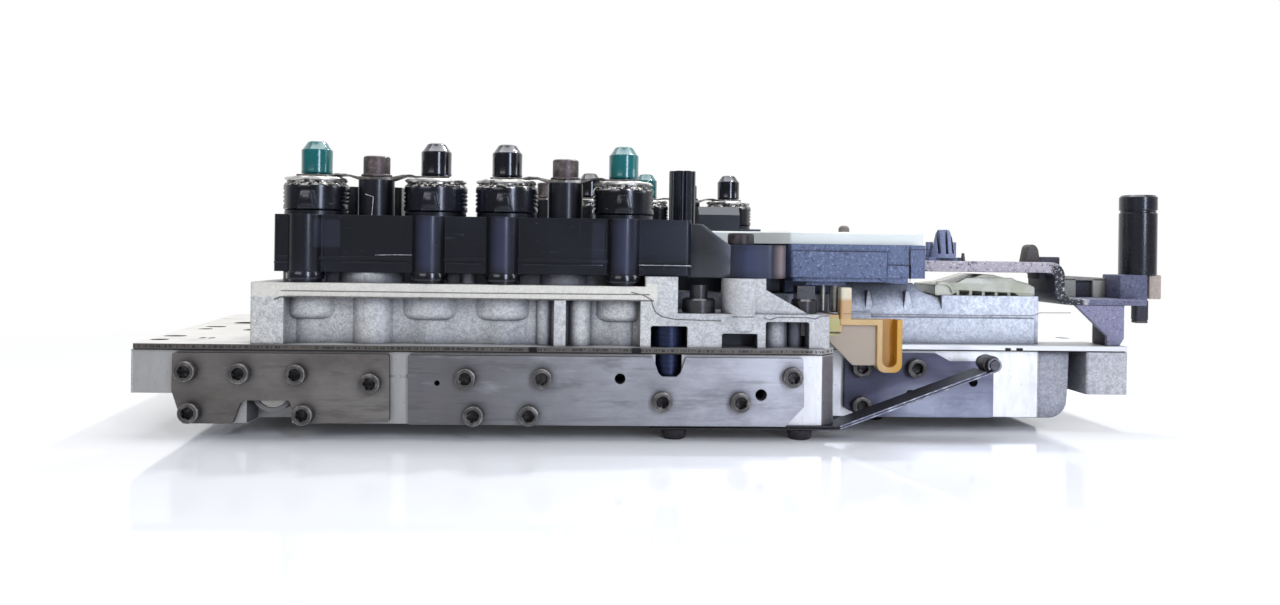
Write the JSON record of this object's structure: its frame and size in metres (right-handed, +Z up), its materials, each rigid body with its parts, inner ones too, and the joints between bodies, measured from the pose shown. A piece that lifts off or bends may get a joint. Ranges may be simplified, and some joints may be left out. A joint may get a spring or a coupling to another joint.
{
  "type": "transmission valve body",
  "caption": "Automatic transmission valve body: stacked aluminium castings, separator plate, two solenoid rows in a plastic carrier, electronic unit, sensor arm, selector slide and detent leaf.",
  "frame": {"origin": "centre of the footprint, on the surface that the base screw heads stand on", "axes": "+X along the length towards the sensor arm, +Y from the front covers to the back, +Z up"},
  "size_m": [0.433, 0.174, 0.1121],
  "materials": {
    "cast_aluminium": "as cast, machined on the joint faces",
    "gasket_fibre": "matt",
    "plate_steel": "satin",
    "cover_steel": "satin, stained",
    "blued_steel": "dark satin",
    "screw_steel": "black oxide",
    "bright_steel": "ground",
    "spring_steel": "dark satin",
    "can_steel": "satin",
    "clear_plastic": "translucent",
    "black_plastic": "satin",
    "black_gloss_plastic": "gloss",
    "green_plastic": "gloss",
    "grey_plastic": "fine speckle",
    "white_plastic": "satin",
    "amber_plastic": "satin"
  },
  "bodies": {
    "housing": {"lower_housing": "cast_aluminium", "upper_housing": "cast_aluminium", "separator_gasket": "gasket_fibre", "separator_plate": "plate_steel", "front_cover_left": "cover_steel", "front_cover_middle": "cover_steel", "front_cover_right": "blued_steel", "rear_cover": "cover_steel", "cover_screws": "screw_steel", "base_screws": "screw_steel", "flange_bolts": "bright_steel", "locating_sleeve": "blued_steel", "locating_pins": "bright_steel", "oil_guide": "clear_plastic", "solenoid_carrier": "black_plastic", "control_unit": "grey_plastic", "control_unit_cover": "white_plastic", "carrier_screws": "screw_steel", "sensor_arm": "grey_plastic", "sensor_post": "black_gloss_plastic", "arm_clip": "grey_plastic", "valve_spring_1": "spring_steel", "valve_spring_2": "spring_steel", "valve_spring_3": "spring_steel", "solenoid_can_front_1": "can_steel", "solenoid_collar_front_1": "black_plastic", "solenoid_cap_front_1": "green_plastic", "solenoid_can_front_2": "can_steel", "solenoid_collar_front_2": "black_plastic", "solenoid_cap_front_2": "black_gloss_plastic", "solenoid_can_front_3": "can_steel", "solenoid_collar_front_3": "black_plastic", "solenoid_cap_front_3": "black_gloss_plastic", "solenoid_can_front_4": "can_steel", "solenoid_collar_front_4": "black_plastic", "solenoid_cap_front_4": "green_plastic", "solenoid_can_back_1": "can_steel", "solenoid_collar_back_1": "black_plastic", "solenoid_cap_back_1": "black_gloss_plastic", "solenoid_can_back_2": "can_steel", "solenoid_collar_back_2": "black_plastic", "solenoid_cap_back_2": "black_gloss_plastic", "solenoid_can_back_3": "can_steel", "solenoid_collar_back_3": "black_plastic", "solenoid_cap_back_3": "green_plastic", "solenoid_can_back_4": "can_steel", "solenoid_collar_back_4": "black_plastic", "solenoid_cap_back_4": "black_gloss_plastic", "hold_down_front_left": "spring_steel", "hold_down_front_right": "spring_steel", "hold_down_back_left": "spring_steel", "hold_down_back_right": "spring_steel"},
    "selector": {"selector_slide": "amber_plastic", "manual_valve": "bright_steel"},
    "detent": {"detent_spring": "spring_steel", "detent_pin": "bright_steel"},
    "roller": {"detent_roller": "screw_steel"},
    "spool_1": {"valve_spool_1": "bright_steel"},
    "spool_2": {"valve_spool_2": "bright_steel"},
    "spool_3": {"valve_spool_3": "bright_steel"}
  },
  "joints": [
    {"name": "selector_slide_travel", "type": "slide", "parent": "housing", "child": "selector", "axis": [1, 0, 0], "range_m": [0, 0.026]},
    {"name": "detent_flex", "type": "hinge", "parent": "housing", "child": "detent", "pos_m": [0.06737, -0.07705, 0.0039], "axis": [0, 1, 0], "range_deg": [0, 4], "stiffness_Nm_per_rad": 12, "deforming": ["detent_spring"]},
    {"name": "roller_spin", "type": "hinge", "parent": "detent", "child": "roller", "pos_m": [0.12737, -0.07705, 0.0293], "axis": [0, 1, 0], "continuous": true},
    {"name": "spool_1_travel", "type": "slide", "parent": "housing", "child": "spool_1", "axis": [0, 1, 0], "range_m": [0, 0.005], "stiffness_N_per_m": 1500, "springref_m": -0.002, "deforming": ["valve_spring_1"]},
    {"name": "spool_2_travel", "type": "slide", "parent": "housing", "child": "spool_2", "axis": [0, 1, 0], "range_m": [0, 0.005], "stiffness_N_per_m": 1500, "springref_m": -0.002, "deforming": ["valve_spring_2"]},
    {"name": "spool_3_travel", "type": "slide", "parent": "housing", "child": "spool_3", "axis": [0, 1, 0], "range_m": [0, 0.005], "stiffness_N_per_m": 1500, "springref_m": -0.002, "deforming": ["valve_spring_3"]}
  ]
}
